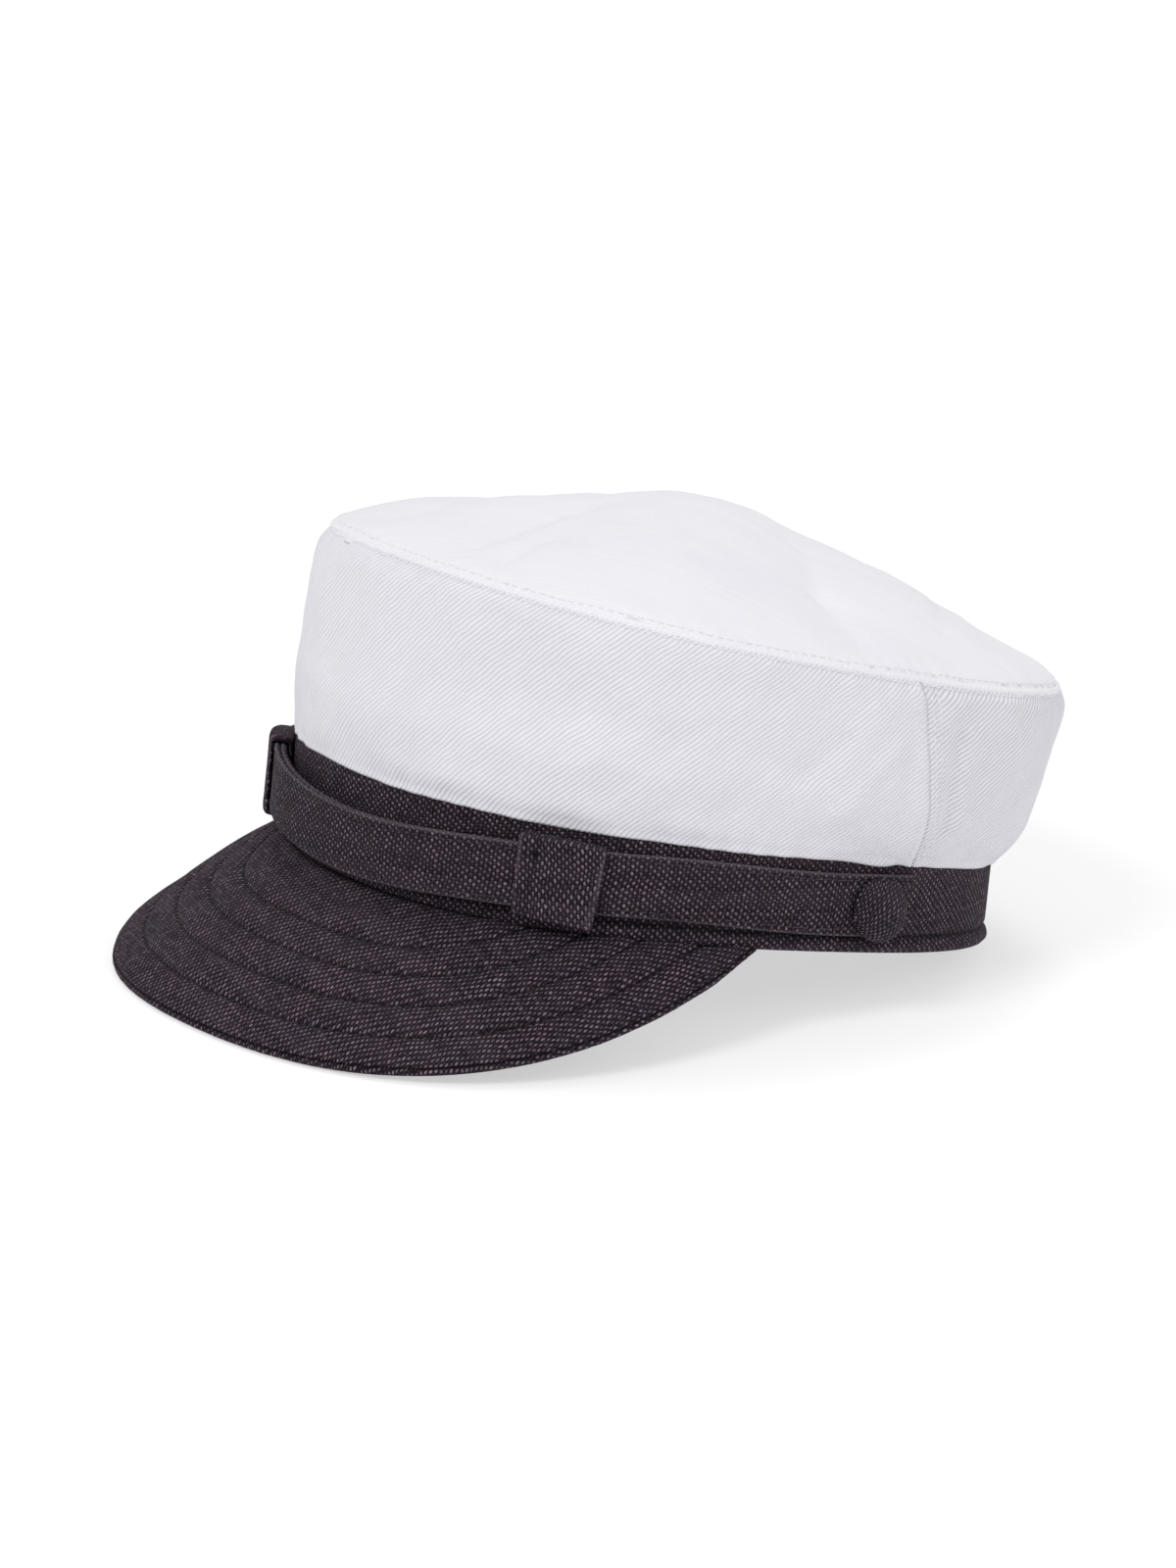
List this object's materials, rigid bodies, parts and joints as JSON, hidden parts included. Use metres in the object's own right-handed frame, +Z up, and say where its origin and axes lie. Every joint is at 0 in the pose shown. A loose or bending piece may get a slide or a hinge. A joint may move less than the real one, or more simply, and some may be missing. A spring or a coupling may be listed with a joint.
{
  "type": "sailor cap",
  "caption": "Sailor cap with a domed white twill crown, a dark linen band with buttoned straps, and a stitched dark peak.",
  "frame": {"origin": "centre of the cap's box, on the surface that the cap rests on", "axes": "+Z up, -Y towards the peak, +X towards the wearer's left; the cap rests on the peak's edge and the back of the hem"},
  "size_m": [0.1906, 0.2696, 0.1274],
  "materials": {
    "white_twill": "matte white cotton twill",
    "dark_linen": "matte charcoal plum plain weave linen"
  },
  "bodies": {
    "root": {"crown_tip": "white_twill", "crown_side_front": "white_twill", "crown_side_back": "white_twill", "band": "dark_linen", "peak": "dark_linen", "strap_left": "dark_linen", "strap_right": "dark_linen", "keeper_left": "dark_linen", "keeper_right": "dark_linen", "button_left": "dark_linen", "button_right": "dark_linen"}
  },
  "joints": []
}
